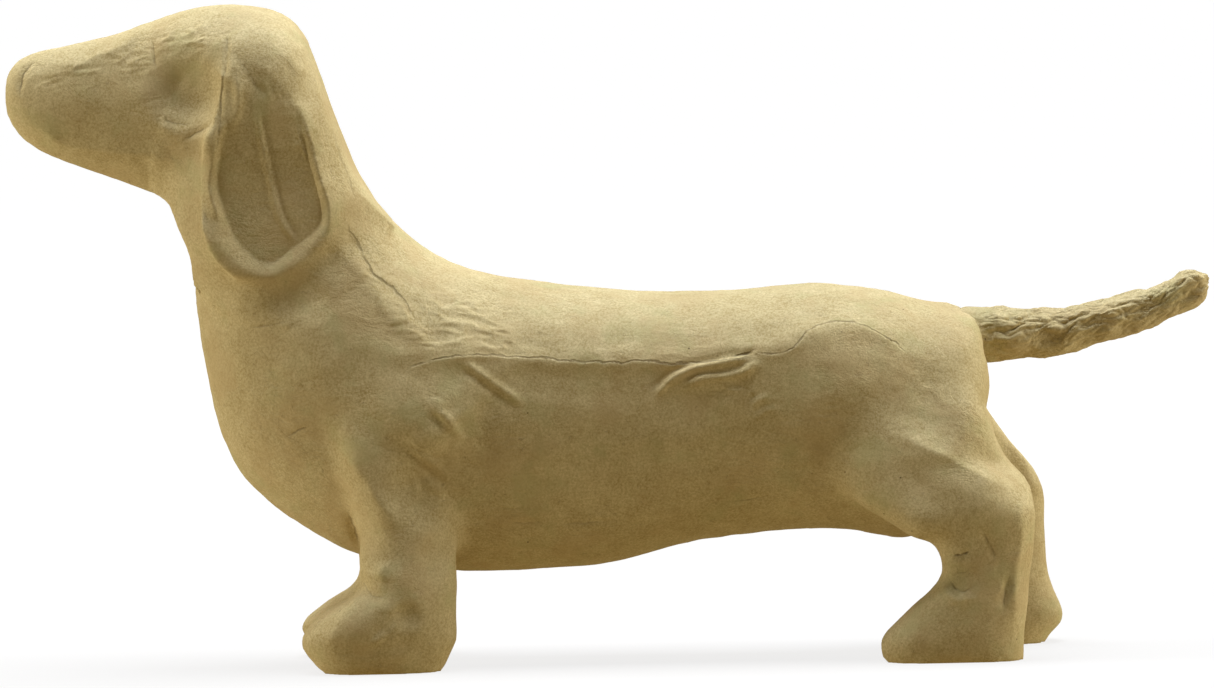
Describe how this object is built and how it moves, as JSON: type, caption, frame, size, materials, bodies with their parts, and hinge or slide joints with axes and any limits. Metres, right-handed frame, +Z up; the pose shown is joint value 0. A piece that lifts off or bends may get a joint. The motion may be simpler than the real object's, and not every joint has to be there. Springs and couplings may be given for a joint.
{
  "type": "papier-mache dachshund",
  "caption": "Long low papier-mache dog with hanging rimmed ears, short legs and a crumpled tail that turns up at its tip, standing on flat soles.",
  "frame": {"origin": "on the floor under the middle of the dog's box", "axes": "+X from the nose to the tail, +Y towards the dog's right side, +Z up"},
  "size_m": [0.3134, 0.0737, 0.1733],
  "materials": {
    "kraft_paper_skin": "matte",
    "crumpled_paper": "matte"
  },
  "bodies": {
    "root": {"body": "kraft_paper_skin", "tail": "crumpled_paper"}
  },
  "joints": []
}
